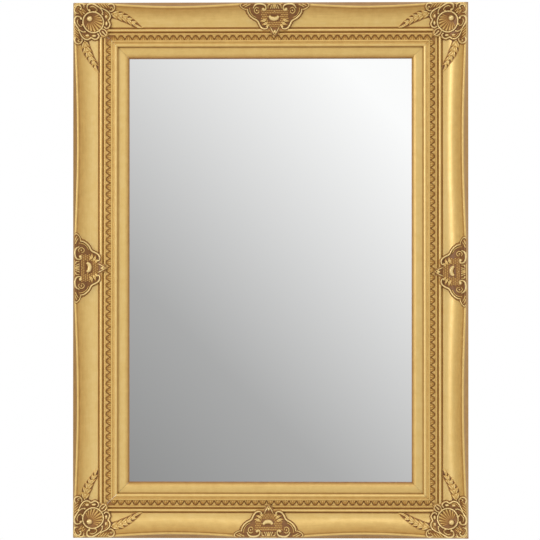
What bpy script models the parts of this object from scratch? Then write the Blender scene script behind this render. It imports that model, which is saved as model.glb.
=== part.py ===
"""Wall mirror in a swept frame of carved and gilded moulding.

Lengths are in millimetres and become metres as each mesh is made. The wall is the plane Y = 0 and the
front faces -Y. Across a frame length, u runs from the outer back edge in towards the glass, h stands out
from the wall, and s runs along the length from its outer corner. The origin is on the back of the top
rail, half way between the two hanger plates.
"""

import math

import bmesh
import bpy
import numpy as np
from mathutils import Vector

MM = 0.001
GAP = 0.3

OUTER_WIDTH = 790.0
OUTER_HEIGHT = 1071.0
FRAME_WIDTH = 113.0
HANGER_DROP = 45.0

TOP = HANGER_DROP
BOTTOM = HANGER_DROP - OUTER_HEIGHT
SIDE = OUTER_WIDTH / 2

RIDGE_HEIGHT = 45.0
SCOOP_FOOT = 20.0
SCOOP_END = 51.4
SCOOP_STEPS = 5
REBATE_U = 86.5
REBATE_LIP = 19.5
LIP_U = 91.0

SWEEP = 5.5
SWEEP_START = 78.0
SWEEP_END = 60.0
KNOT_EVERY = 6

BAND_START = 82.5
BAND_PITCH = 15.0
LEAF_TIP = (66.2, 25.0)
LEAF_BASE = (76.4, 24.9)
DART = (74.2, 21.6)

CREST_OFFSET = {"top": 9.0, "bottom": -3.0, "left": 4.0, "right": -3.5}
CASTING_INSET = 3.9
CASTING_FIT = 0.972
CREST_INSET = 4.2
CREST_FIT = 0.967
SPRAY_START = 74.0
CORNER_TRIANGLES = 960
CREST_TRIANGLES = 590
BED_GAP = 0.8

GLASS_THICK = 4.0
GLASS_BACK = 3.2
BOARD_THICK = 2.6
SIGHT_HEIGHT = 12.0

PLATE_LONG = 45.0
PLATE_WIDE = 18.0
PLATE_THICK = 1.4
PLATE_X = 250.0
KEYHOLE_HEAD = 5.0
KEYHOLE_SLOT = 2.5
KEYHOLE_RISE = 10.0
POCKET_WIDE = 14.0
POCKET_LONG = 25.0
POCKET_DEEP = 10.0
SCREW_RISE = 18.0
SCREW_HEAD = 3.4
SCREW_SHANK = 1.6
SCREW_LONG = 11.0
SCREW_SIDES = 8


def clear_scene():
    for thing in list(bpy.data.objects):
        bpy.data.objects.remove(thing, do_unlink=True)


def finish_of(name, colour, roughness, metallic):
    material = bpy.data.materials.new(name)
    material.use_nodes = True
    shader = material.node_tree.nodes["Principled BSDF"]
    shader.inputs["Base Color"].default_value = (*colour, 1.0)
    shader.inputs["Roughness"].default_value = roughness
    shader.inputs["Metallic"].default_value = metallic
    return material


def gilding(name):
    """Aged gold paint, a little browner on the castings."""
    brown = 0.9 if name.startswith(("corner", "crest")) else 1.0
    return finish_of(name + "_gilding", (0.56 * brown, 0.36 * brown, 0.13 * brown), 0.42, 0.6)


def add_object(name, mesh, material=None):
    mesh.name = name
    thing = bpy.data.objects.new(name, mesh)
    bpy.context.scene.collection.objects.link(thing)
    if material:
        thing.data.materials.append(material)
    return thing


def mesh_of(shape, name):
    """The mesh of a bmesh drawn in millimetres, with its faces turned outwards."""
    bmesh.ops.recalc_face_normals(shape, faces=shape.faces)
    bmesh.ops.scale(shape, vec=(MM, MM, MM), verts=shape.verts)
    mesh = bpy.data.meshes.new(name)
    shape.to_mesh(mesh)
    shape.free()
    return mesh


def close_ends(shape, *rings):
    """A flat end over each ring. Its normal is worked out first, because the cut into triangles goes by it."""
    ends = [shape.faces.new(ring) for ring in rings]
    for end in ends:
        end.normal_update()
    bmesh.ops.triangulate(shape, faces=ends)


def loft(shape, rings):
    """A closed body through rings of equal length."""
    rows = [[shape.verts.new(point) for point in ring] for ring in rings]
    count = len(rows[0])
    for near, far in zip(rows, rows[1:]):
        for i in range(count):
            j = (i + 1) % count
            shape.faces.new((near[i], near[j], far[j], far[i]))
    close_ends(shape, rows[0][::-1], rows[-1])


def baked(thing):
    """Replaces an object's mesh by what its modifiers make of it."""
    bpy.context.view_layer.update()
    graph = bpy.context.evaluated_depsgraph_get()
    mesh = bpy.data.meshes.new_from_object(thing.evaluated_get(graph))
    old = thing.data
    thing.modifiers.clear()
    thing.data = mesh
    bpy.data.meshes.remove(old)


def smooth_shaded(thing, degrees):
    thing.data.shade_smooth()
    thing.data.set_sharp_from_angle(angle=math.radians(degrees))


# Moulding

def scoop_height(u, shift):
    """The wide hollow of the moulding, from the ridge down to the bead."""
    start = 11.8 + shift
    q = min(max((u - start) / (SCOOP_END - start), 0.0), 1.0)
    return SCOOP_FOOT + 22.6 * (1.0 - q) ** 2.2


def moulding(shift):
    """The section of a frame length, where shift moves the ridge in."""
    start = 11.8 + shift
    section = [(0, 0), (0, 5.5), (1.2, 7)]
    section += [(4.2 + 0.5 * shift, 16), (6.2 + shift, 30), (5.6 + shift, 40)]
    section += [(5.5 + shift, 43.2), (7.3 + shift, RIDGE_HEIGHT), (9.2 + shift, 44.2), (10.5 + shift, 42)]
    for i in range(SCOOP_STEPS):
        u = start + (SCOOP_END - start) * i / SCOOP_STEPS
        section.append((u, scoop_height(u, shift)))
    section += [(SCOOP_END, 20), (52.2, 18), (54.2, 18)]
    section += [(54.8, 21), (55.6, 23.2), (56.8, 24), (58, 23.2), (58.8, 21)]
    section += [(59.4, 18.4), (61.2, 18.4), (61.8, 21.5), (65.6, 21.5)]
    section += [LEAF_TIP, LEAF_BASE]
    section += [(76.8, 25.6), (80, 25.6), (80.8, 24), (83, 23.2), (85.2, 24), (86, 26), (89.4, 26)]
    section += [(90.6, 24.6), (LIP_U, 23), (LIP_U, REBATE_LIP), (REBATE_U, REBATE_LIP), (REBATE_U, 0)]
    return section


def length_of(rail):
    return OUTER_WIDTH if rail in ("top", "bottom") else OUTER_HEIGHT


def sweep_at(s, length):
    """How far the ridge curves in between a corner and the middle of its length."""
    half = length / 2
    s = min(s, length - s)
    t = (s - SWEEP_START) / (half - SWEEP_END - SWEEP_START)
    return SWEEP * math.sin(math.pi * t) if 0 < t < 1 else 0.0


def band_stations(length):
    """Where along a length the ridges of the carved leaves cross the band."""
    leaves = round((length - 2 * BAND_START) / BAND_PITCH)
    step = (length - 2 * BAND_START) / leaves
    return [BAND_START + step * i for i in range(leaves + 1)]


def knotted_sweep(length):
    """The sweep drawn straight between a few of the stations, as (s, shift) pairs."""
    stations = band_stations(length)
    last = len(stations) - 1
    picked = sorted({*range(0, last // 2, KNOT_EVERY), last // 2})
    picked += [last - i for i in reversed(picked[:-1])]
    return [(stations[i], sweep_at(stations[i], length)) for i in picked]


def shift_at(s, length):
    knots = knotted_sweep(length)
    return float(np.interp(s, [k[0] for k in knots], [k[1] for k in knots]))


def placed(rail, s, u, h):
    """A point of a frame length in the object's own frame."""
    if rail == "top":
        return (s - SIDE, -h, TOP - u)
    if rail == "bottom":
        return (s - SIDE, -h, BOTTOM + u)
    if rail == "left":
        return (u - SIDE, -h, TOP - s)
    return (SIDE - u, -h, TOP - s)


def mitre_ring(rail, section, far):
    """The section where a length is cut at 45 degrees, half the joint's gap short of the corner."""
    length = length_of(rail)
    gap = GAP / 2 * math.sqrt(2)
    return [placed(rail, length - u - gap if far else u + gap, u, h) for u, h in section]


def clear_of_mitre(s, u, i, last, length):
    """Holds station i of a length short of the mitres, where it would cross them near the glass."""
    gap = GAP / 2 * math.sqrt(2)
    if i <= last - i:
        return max(s, u + gap + 0.4 * (i + 1))
    return min(s, length - u - gap - 0.4 * (last - i + 1))


def fan_between(shape, one, two):
    """Fills the strip between a line of two points and a line of many, with a fan from each of the two."""
    few, many = (one, two) if len(one) == 2 else (two, one)
    middle = len(many) // 2
    for i in range(len(many) - 1):
        shape.faces.new((few[0] if i < middle else few[1], many[i], many[i + 1]))
    shape.faces.new((few[0], many[middle], few[1]))


def frame_length(rail):
    """One mitred length. The carved band has points at each leaf, the rest only at the sweep's knots."""
    length = length_of(rail)
    stations = band_stations(length)
    last = len(stations) - 1
    knots = [-1, *(stations.index(s) for s, _ in knotted_sweep(length)), last + 1]
    plain = moulding(0.0)
    tips, bases = plain.index(LEAF_TIP), plain.index(LEAF_BASE)
    shape = bmesh.new()
    rings = {-1: [shape.verts.new(q) for q in mitre_ring(rail, plain, False)],
             last + 1: [shape.verts.new(q) for q in mitre_ring(rail, plain, True)]}
    for i, s in enumerate(stations):
        rings[i] = {}
        for k, (u, h) in enumerate(moulding(shift_at(s, length))):
            if i in knots or k in (tips, bases):
                along = clear_of_mitre(s, u, i, last, length)
                rings[i][k] = shape.verts.new(placed(rail, along, u, h))
    count = len(plain)
    for near, far in zip(knots, knots[1:]):
        for k in range(count):
            j = (k + 1) % count
            one = [rings[i][k] for i in range(near, far + 1) if i in (near, far) or k in (tips, bases)]
            two = [rings[i][j] for i in range(near, far + 1) if i in (near, far) or j in (tips, bases)]
            if k == tips:
                for i in range(near, far):
                    pit = (stations[max(i, 0)] + stations[min(i + 1, last)]) / 2
                    if i in (-1, last):
                        pit += (-0.4 if i < 0 else 0.4) * (stations[1] - stations[0])
                    dart = shape.verts.new(placed(rail, pit, *DART))
                    cell = (rings[i][tips], rings[i + 1][tips], rings[i + 1][bases], rings[i][bases])
                    for one_end, other_end in zip(cell, cell[1:] + cell[:1]):
                        shape.faces.new((one_end, other_end, dart))
            elif len(one) == len(two):
                shape.faces.new(one + two[::-1])
            else:
                fan_between(shape, one, two)
    close_ends(shape, rings[-1], rings[last + 1])
    name = rail + "_rail"
    thing = add_object(name, mesh_of(shape, name), gilding(name))
    smooth_shaded(thing, 25)
    return thing


def slip_length(rail):
    """The inner moulding: flat, rolled down to its sight edge, and rebated for the glass."""
    back = GLASS_BACK
    foot = back + GLASS_THICK + GAP
    near, far = REBATE_U + GAP, FRAME_WIDTH
    glass_u = far - 7.6
    section = [(near, back), (near, 19.2), (93.5, 19.2), (103.5, 19.0), (106.5, 18.2), (109.2, 16.6)]
    section += [(111.4, 14.6), (112.7, 13.0), (far, SIGHT_HEIGHT), (far, foot), (glass_u, foot), (glass_u, back)]
    shape = bmesh.new()
    loft(shape, [mitre_ring(rail, section, False), mitre_ring(rail, section, True)])
    name = rail + "_slip"
    thing = add_object(name, mesh_of(shape, name), gilding(name))
    smooth_shaded(thing, 25)
    return thing


# Strokes of the castings

def curve_through(points, step):
    """A smooth curve through the points, sampled about a step apart."""
    p = [Vector(q) for q in points]
    p = [2 * p[0] - p[1], *p, 2 * p[-1] - p[-2]]
    line = []
    for a, b, c, d in zip(p, p[1:], p[2:], p[3:]):
        count = max(1, round((c - b).length / step))
        for i in range(count):
            t = i / count
            line.append(0.5 * (2 * b + t * (c - a) + t * t * (2 * a - 5 * b + 4 * c - d)
                               + t * t * t * (3 * b - a - 3 * c + d)))
    line.append(p[-2])
    return line


def stroke(shape, carrier, points, wide, lift=1.6, tall=1.0, ends=(0.7, 0.7), step=2.4, sides=6):
    """A raised rounded line lying on the carrier surface, wide across and tapered to its ends."""
    line = curve_through(points, step)
    last = len(line) - 1
    spots = [Vector((q.x, q.y, carrier(q.x, q.y) + lift)) for q in line]
    rings = []
    for i, spot in enumerate(spots):
        along = (spots[min(i + 1, last)] - spots[max(i - 1, 0)]).normalized()
        across = along.cross(Vector((0, 0, 1))).normalized()
        up = across.cross(along)
        t = i / last
        taper = ends[0] + (1 - ends[0]) * min(1, 4 * t)
        taper = min(taper, ends[1] + (1 - ends[1]) * min(1, 4 * (1 - t)))
        r = wide / 2 * taper
        turns = [2 * math.pi * k / sides for k in range(sides)]
        rings.append([spot + r * (math.cos(w) * across + tall * math.sin(w) * up) for w in turns])
    loft(shape, rings)


def boss(shape, carrier, centre, radii, lift=1.0, turn=0.0):
    """A rounded lump with half sizes radii along, across and out."""
    ball = bmesh.ops.create_icosphere(shape, subdivisions=2, radius=1.0)["verts"]
    a, b = centre
    out = carrier(a, b) + lift
    c, s = math.cos(math.radians(turn)), math.sin(math.radians(turn))
    for vert in ball:
        x, y, z = vert.co.x * radii[0], vert.co.y * radii[1], vert.co.z * radii[2]
        vert.co = (a + c * x - s * y, b + s * x + c * y, out + z)


def leaf(shape, carrier, base, tip, wide, lift=1.2):
    """A pointed leaf, widest near its base."""
    base, tip = Vector(base), Vector(tip)
    bend = (tip - base).orthogonal() * 0.06
    points = [base, base.lerp(tip, 0.35) + bend, base.lerp(tip, 0.7) + bend, tip]
    stroke(shape, carrier, [tuple(q) for q in points], wide, lift, 0.55, (0.45, 0.15))


def inside(outline, x, y):
    """Which of the points x, y lie inside a closed outline."""
    found = np.zeros(x.shape, bool)
    for (ax, ay), (bx, by) in zip(outline, outline[1:] + outline[:1]):
        if ay != by:
            crosses = (ay > y) != (by > y)
            found ^= crosses & (x < (bx - ax) * (y - ay) / (by - ay) + ax)
    return found


def slab(shape, carrier, outline, cell, top, floor):
    """The ground of a casting: small square cells inside its outline, topped by the carrier surface."""
    low = np.min(outline, axis=0) - cell
    high = np.max(outline, axis=0) + cell
    xs = np.arange(low[0], high[0], cell)
    ys = np.arange(low[1], high[1], cell)
    mx, my = np.meshgrid(xs + cell / 2, ys + cell / 2, indexing="ij")
    full = inside(outline, mx, my)
    corners = {}

    def corner(i, j, level):
        if (i, j, level) not in corners:
            reach = carrier(xs[i], ys[j])
            height = reach + top if level else floor(reach)
            corners[i, j, level] = shape.verts.new((xs[i], ys[j], height))
        return corners[i, j, level]

    for i, j in zip(*np.nonzero(full)):
        square = ((i, j), (i + 1, j), (i + 1, j + 1), (i, j + 1))
        shape.faces.new([corner(*q, 1) for q in square])
        shape.faces.new([corner(*q, 0) for q in square[::-1]])
        beside = ((i, j - 1), (i + 1, j), (i, j + 1), (i - 1, j))
        for k, other in enumerate(beside):
            if not full[other]:
                p, q = square[k], square[(k + 1) % 4]
                shape.faces.new((corner(*p, 0), corner(*q, 0), corner(*q, 1), corner(*p, 1)))


# Castings

def envelope(u):
    """The height that a casting lies on, a smooth line over the moulding's ridge, scoop and bead."""
    if u < 11.8:
        return 44.4
    if u < SCOOP_END:
        chord = 43.6 - (u - 11.8) / (SCOOP_END - 11.8) * 20.0
        return 0.6 * max(scoop_height(u, 0), 21.0) + 0.4 * chord
    return 22.6 + 1.8 * math.exp(-((u - 57.0) / 4.0) ** 2)


def bed_height(u, shift):
    """The lowest a casting may reach over the moulding, or None outside its ridge."""
    if u < 4.5 + shift:
        return None
    start = 11.8 + shift
    line = [(4.3 + shift, 44.0), (6.9 + shift, 45.5), (9.6 + shift, 45.0), (11.0 + shift, 43.4)]
    line += [(start + (SCOOP_END - start) * i / SCOOP_STEPS, scoop_height(start + (SCOOP_END - start) * i
              / SCOOP_STEPS, shift)) for i in range(SCOOP_STEPS)]
    line += [(SCOOP_END, 20), (54.0, 21.4), (55.6, 24.0), (62, 24.0), (64.4, 25.6), (78, 25.6)]
    return BED_GAP + float(np.interp(u, [q[0] for q in line], [q[1] for q in line]))


def corner_bed(a, b):
    """Under a corner casting: a runs along the top or bottom length, b along the side length."""
    along, length = (a, OUTER_WIDTH) if a > b else (b, OUTER_HEIGHT)
    return bed_height(min(a, b), shift_at(max(along, BAND_START), length))


def crest_bed(rail, middle):
    """The bed under a crest, in the crest's own s and u."""
    length = length_of(rail)
    return lambda s, u: bed_height(u, shift_at(middle + s, length))


def over(reach, bed):
    """Holds a casting's ground a little above its bed."""
    return reach if bed is None else max(reach, bed + 0.9)


def corner_carrier(a, b):
    """Rounds the valley where the two scoops of a corner meet, and lies close under the leaf sprays."""
    soft = 7.0
    u = -soft * math.log(math.exp(-a / soft) + math.exp(-b / soft)) + 2.0
    reach = envelope(max(u, min(a, b) - 5.0))
    bed = corner_bed(a, b)
    if bed is not None:
        close = min(max((max(a, b) - SPRAY_START) / 12.0, 0.0), 1.0)
        reach += close * (bed - reach)
    return over(reach, bed)


def crest_carrier(s, t):
    return over(envelope(t), bed_height(t, 0.0))


def fitted(points):
    """Points of the corner casting, drawn from the picture's corner, in the frame's own u and s."""
    return [(CASTING_INSET + CASTING_FIT * a, CASTING_INSET + CASTING_FIT * b) for a, b in points]


def both_ways(points):
    return [points, [(b, a) for a, b in points]]


def corner_outline():
    half = [(1.5, 1.5), (5, 1.5), (18, 2.5), (24, 5), (27, 4), (33, 1.8), (40, 2.5), (60, 3), (70, 2.2)]
    half += [(76, 1.8), (81, 4.5), (83, 9.5), (81, 15), (75.5, 18.5), (72, 22), (73.2, 28), (70.5, 35)]
    half += [(72.5, 41), (73, 47), (70.5, 52.5), (65, 54.5), (61.5, 55), (65, 58.5), (66, 63)]
    return fitted(half + [(b, a) for a, b in reversed(half[1:])])


def corner_shape():
    """The corner casting in frame coordinates: s along one length, u across it, and h outwards."""
    shape = bmesh.new()
    on = corner_carrier

    def line(points, wide, **more):
        for side in both_ways(points):
            stroke(shape, on, fitted(side), wide, **more)

    def lump(centre, radii, **more):
        (a, b) = fitted([centre])[0]
        for place in {(a, b), (b, a)}:
            size = radii if place == (a, b) else (radii[1], radii[0], radii[2])
            boss(shape, on, place, size, **more)

    slab(shape, on, corner_outline(), 2.0, 0.6, lambda reach: 41.5 if reach > 43.5 else reach - 12)
    # the shell in its ring, with a pearl and a fan of flutes
    ring = []
    for k in range(25):
        w = math.radians(45 + 15 * k)
        pull = 1 + 0.10 * max(0.0, math.cos(w - math.pi / 4)) ** 6
        ring.append((38.8 + 18.9 * pull * math.cos(w), 38.8 + 18.9 * pull * math.sin(w)))
    stroke(shape, on, fitted(ring), 4.0, lift=3.0, ends=(1, 1), step=3)
    lump((31.5, 31.5), (6.4, 6.4, 5.0), lift=2.2)
    for k in range(9):
        w = math.radians(-27 + 18 * k)
        reach = 20.5 + 5.5 * math.cos(w - math.pi / 4) ** 2
        root, tip = ((31.5 + r * math.cos(w), 31.5 + r * math.sin(w)) for r in (7.5, reach))
        stroke(shape, on, fitted([root, tip]), 3.0, lift=1.2, ends=(0.6, 1))
    # the curls of the outer corner
    line([(9, 19), (3.2, 17.5), (1.6, 11), (3.4, 4.6)], 3.0, lift=2.4)
    line([(4.5, 8.5), (9, 6.8), (12.6, 8.4), (12.6, 11.8)], 2.8, lift=2.6)
    line([(14, 15), (20, 18), (24, 21)], 2.2, lift=1.0)
    # a C scroll on either side of the corner
    line([(30.5, 15.5), (27.2, 12.5), (26.5, 8.5), (29, 4.8), (34, 3.2), (39, 4.2), (44, 7.6), (48.6, 13),
          (52.5, 19), (57, 24)], 3.4, lift=2.8)
    lump((30.5, 15), (3.0, 3.0, 3.0), lift=2.8)
    line([(32.5, 10), (37, 9.3), (41.5, 11), (44.6, 14.5), (43, 17.6)], 2.6, lift=1.8)
    line([(55, 13.5), (59, 18), (60, 22.5), (57, 24.5)], 2.4, lift=1.8)
    # the lobed rim with its bosses
    line([(59.5, 12.5), (64.5, 16), (69.4, 21.6), (71.6, 27), (71.2, 31.5), (68.6, 35.6), (70.4, 40.5),
          (71.4, 46), (69.6, 51), (65.6, 52.8), (62.4, 50.6)], 3.3, lift=2.4)
    lump((64.2, 26.2), (3.2, 4.8, 3.2), lift=0.9)
    lump((64.6, 41.6), (3.0, 5.4, 3.2), lift=0.9)
    # the end scroll along the outer edge
    line([(56, 5), (64, 4.6), (72, 2.8), (78, 3.6), (81.6, 8.4), (80, 13.8), (75.4, 16.8), (70.5, 18)],
         3.2, lift=2.4)
    line([(59, 9.5), (66, 9), (72.5, 7.2), (76.8, 9), (74.8, 12.6)], 2.4, lift=1.4)
    # the husk at the inner corner
    line([(55.5, 52.5), (61, 55.5), (65, 60.2)], 2.8, lift=2.2)
    lump((60.5, 60.5), (4.4, 4.4, 3.4), lift=1.0)
    # a spray of leaves down each scoop
    line([(73, 20), (90, 27), (108, 36), (132, 47)], 3.0, lift=1.2, ends=(1, 0.5), step=4)
    for out_of, upper, lower, wide in ((76, (88, 19), (85, 34), 6.4), (86, (101, 25), (96, 38.5), 6.0),
                                       (97, (112, 31), (108, 43), 5.2), (109, (122, 38), (120, 48), 4.4)):
        root = (out_of, 21 + (out_of - 75) * 0.455)
        for tip in (upper, lower):
            for base, end in zip(both_ways([root]), both_ways([tip])):
                leaf(shape, on, *fitted(base + end), wide, lift=0.9)
    return shape


def crest_fitted(points):
    return [(s, CREST_INSET + CREST_FIT * t) for s, t in points]


def crest_outline():
    half = [(0, 2.5), (14, 2), (20, 3.5), (30, 1.8), (40, 3), (55, 2.5), (66, 2.2), (70, 5), (68, 11)]
    half += [(57.5, 15), (56, 20), (51, 27), (44, 32.5), (36.5, 36), (33.5, 41), (31, 46), (27, 51.5)]
    half += [(21, 55), (13, 54.5), (8.5, 54), (5.5, 60), (0, 65.5)]
    return crest_fitted(half + [(-s, t) for s, t in reversed(half[1:-1])])


def crest_shape():
    """The centre casting: s along its length from its own middle, u across, and h outwards."""
    shape = bmesh.new()
    on = crest_carrier

    def line(points, wide, **more):
        for side in (1, -1):
            stroke(shape, on, crest_fitted([(side * s, t) for s, t in points]), wide, **more)

    def lump(centre, radii, **more):
        for side in ({1, -1} if centre[0] else {1}):
            boss(shape, on, crest_fitted([(side * centre[0], centre[1])])[0], radii, **more)

    slab(shape, on, crest_outline(), 2.0, 0.6, lambda reach: 41.5 if reach > 43.5 else reach - 12)
    # the lobed rim
    line([(55.5, 13.5), (54, 20), (50, 26), (44, 31), (37.5, 34.2), (33.8, 37), (31.6, 42), (29.4, 46.5),
          (25.6, 51), (20.5, 53.2), (15, 53), (12.4, 50.4)], 3.4, lift=2.4)
    lump((15.2, 49), (2.6, 2.6, 2.6), lift=2.0)
    # the large scrolls and their bulbs
    line([(43, 12), (41.6, 7), (36, 3.6), (28, 3), (21.6, 6), (19.4, 11), (22, 15.4)], 3.4, lift=2.8)
    lump((23.6, 13.4), (3.6, 3.8, 3.4), lift=2.6)
    line([(44, 14), (42, 20), (36, 23), (30.5, 20.5), (31, 15.5), (34.5, 14)], 2.8, lift=1.6)
    line([(47, 9), (49, 17), (46, 24)], 2.6, lift=1.2)
    # the leaf lobes at the ends
    line([(56, 14), (62, 13.4), (67.4, 10), (68.6, 5)], 2.6, lift=1.6)
    line([(54, 9), (60, 7.5), (65, 5.5)], 2.4, lift=1.4)
    # the fan at the outer edge
    for s in (0.0, 5.4, 11.0):
        line([(0.6 * s, 15.5 - 0.2 * s), (s, 4.4)], 3.8, lift=2.6, ends=(0.5, 1))
    # the bean boss
    boss(shape, on, crest_fitted([(-0.5, 29.0)])[0], (11.0, 6.2, 5.4), lift=2.0)
    # leaves between the bean and the rim
    for root, tip in (((15, 22), (33, 28)), ((14, 30), (28, 38)), ((9, 38), (21, 46)), ((3.5, 40), (8, 50))):
        line([root, tip], 5.0, lift=1.4, ends=(0.5, 0.7))
    # the drop that crosses the bead
    line([(9.5, 50.5), (5.6, 56.5), (0.6, 63.5)], 2.6, lift=2.0)
    lump((0, 57.4), (3.6, 4.6, 3.2), lift=1.2)
    return shape


def casting(name, shape):
    """Fuses the strokes of a casting into one skin."""
    thing = add_object(name, mesh_of(shape, name))
    skin = thing.modifiers.new("one skin", "REMESH")
    skin.mode = "VOXEL"
    skin.voxel_size = 1.0 * MM
    baked(thing)
    return thing


def bedded(pattern, bed, triangles):
    """A copy of a casting, pressed down on the moulding that it is glued to, and thinned out."""
    thing = add_object(pattern.name + "_copy", pattern.data.copy())
    shape = bmesh.new()
    shape.from_mesh(thing.data)
    for vert in shape.verts:
        low = bed(vert.co.x / MM, vert.co.y / MM)
        if low is not None:
            vert.co.z = max(vert.co.z, low * MM)
    bmesh.ops.dissolve_degenerate(shape, edges=shape.edges, dist=0.00002)
    shape.to_mesh(thing.data)
    shape.free()
    thinned = thing.modifiers.new("thinned", "DECIMATE")
    thinned.ratio = triangles / sum(len(face.vertices) - 2 for face in thing.data.polygons)
    thinned.use_collapse_triangulate = True
    baked(thing)
    keep_largest(thing)
    return thing


def keep_largest(thing):
    """Drops the crumbs that bedding leaves, so that the casting is one body."""
    shape = bmesh.new()
    shape.from_mesh(thing.data)
    left = set(shape.verts)
    bodies = []
    while left:
        body, edge = set(), [left.pop()]
        while edge:
            vert = edge.pop()
            body.add(vert)
            for link in vert.link_edges:
                other = link.other_vert(vert)
                if other in left:
                    left.remove(other)
                    edge.append(other)
        bodies.append(body)
    bodies.sort(key=len)
    for body in bodies[:-1]:
        bmesh.ops.delete(shape, geom=list(body), context="VERTS")
    shape.to_mesh(thing.data)
    shape.free()


def laid(pattern, name, place):
    """A copy of a casting with every point put in place, and turned right way out."""
    shape = bmesh.new()
    shape.from_mesh(pattern.data)
    for vert in shape.verts:
        vert.co = Vector(place(*(value / MM for value in vert.co))) * MM
    if shape.calc_volume(signed=True) < 0:
        bmesh.ops.reverse_faces(shape, faces=shape.faces)
    mesh = bpy.data.meshes.new(name)
    shape.to_mesh(mesh)
    shape.free()
    thing = add_object(name, mesh, gilding(name))
    smooth_shaded(thing, 60)
    return thing


def corner_ornaments():
    skin = casting("corner_casting", corner_shape())
    pattern = bedded(skin, corner_bed, CORNER_TRIANGLES)
    for row, near in (("top", True), ("bottom", False)):
        for column, left in (("left", True), ("right", False)):
            def place(s, u, h, near=near, left=left):
                return (s - SIDE if left else SIDE - s, -h, TOP - u if near else BOTTOM + u)
            laid(pattern, f"corner_ornament_{row}_{column}", place)
    for helper in (skin, pattern):
        bpy.data.objects.remove(helper, do_unlink=True)


def centre_crests():
    skin = casting("crest_casting", crest_shape())
    for rail, offset in CREST_OFFSET.items():
        across = rail in ("top", "bottom")
        middle = length_of(rail) / 2 + (offset if across else -offset)
        pattern = bedded(skin, crest_bed(rail, middle), CREST_TRIANGLES)

        def place(s, u, h, rail=rail, middle=middle):
            return placed(rail, middle + s, u, h)
        laid(pattern, "crest_" + rail, place)
        bpy.data.objects.remove(pattern, do_unlink=True)
    bpy.data.objects.remove(skin, do_unlink=True)


# Plate, board and hangers

def block(name, x, z, near, far, material):
    """A flat rectangular plate between two heights off the wall."""
    shape = bmesh.new()
    bmesh.ops.create_cube(shape, size=1.0)
    for vert in shape.verts:
        vert.co.x = x[1] if vert.co.x > 0 else x[0]
        vert.co.z = z[1] if vert.co.z > 0 else z[0]
        vert.co.y = -near if vert.co.y > 0 else -far
    return add_object(name, mesh_of(shape, name), material)


def post(shape, x, z, radius, near, far, sides, far_radius=None):
    """A round bar standing off the wall."""
    rings = []
    for h, r in ((near, radius), (far, far_radius or radius)):
        turns = [2 * math.pi * k / sides for k in range(sides)]
        rings.append([(x + r * math.cos(w), -h, z + r * math.sin(w)) for w in turns])
    loft(shape, rings)


def glass_and_board():
    rim = FRAME_WIDTH - 7.2
    silver = finish_of("silvered_glass", (0.9, 0.91, 0.92), 0.02, 1.0)
    block("mirror_plate", (rim - SIDE, SIDE - rim), (BOTTOM + rim, TOP - rim),
          GLASS_BACK, GLASS_BACK + GLASS_THICK, silver)
    edge = REBATE_U + 0.6
    brown = finish_of("brown_board", (0.30, 0.19, 0.11), 0.8, 0.0)
    block("backing_board", (edge - SIDE, SIDE - edge), (BOTTOM + edge, TOP - edge), GAP, GAP + BOARD_THICK, brown)


def cut_by(thing, shape, name):
    cutter = add_object(name, mesh_of(shape, name))
    cutter.hide_render = True
    cutter.display_type = "WIRE"
    cut = thing.modifiers.new(name, "BOOLEAN")
    cut.operation = "DIFFERENCE"
    cut.object = cutter


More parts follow.
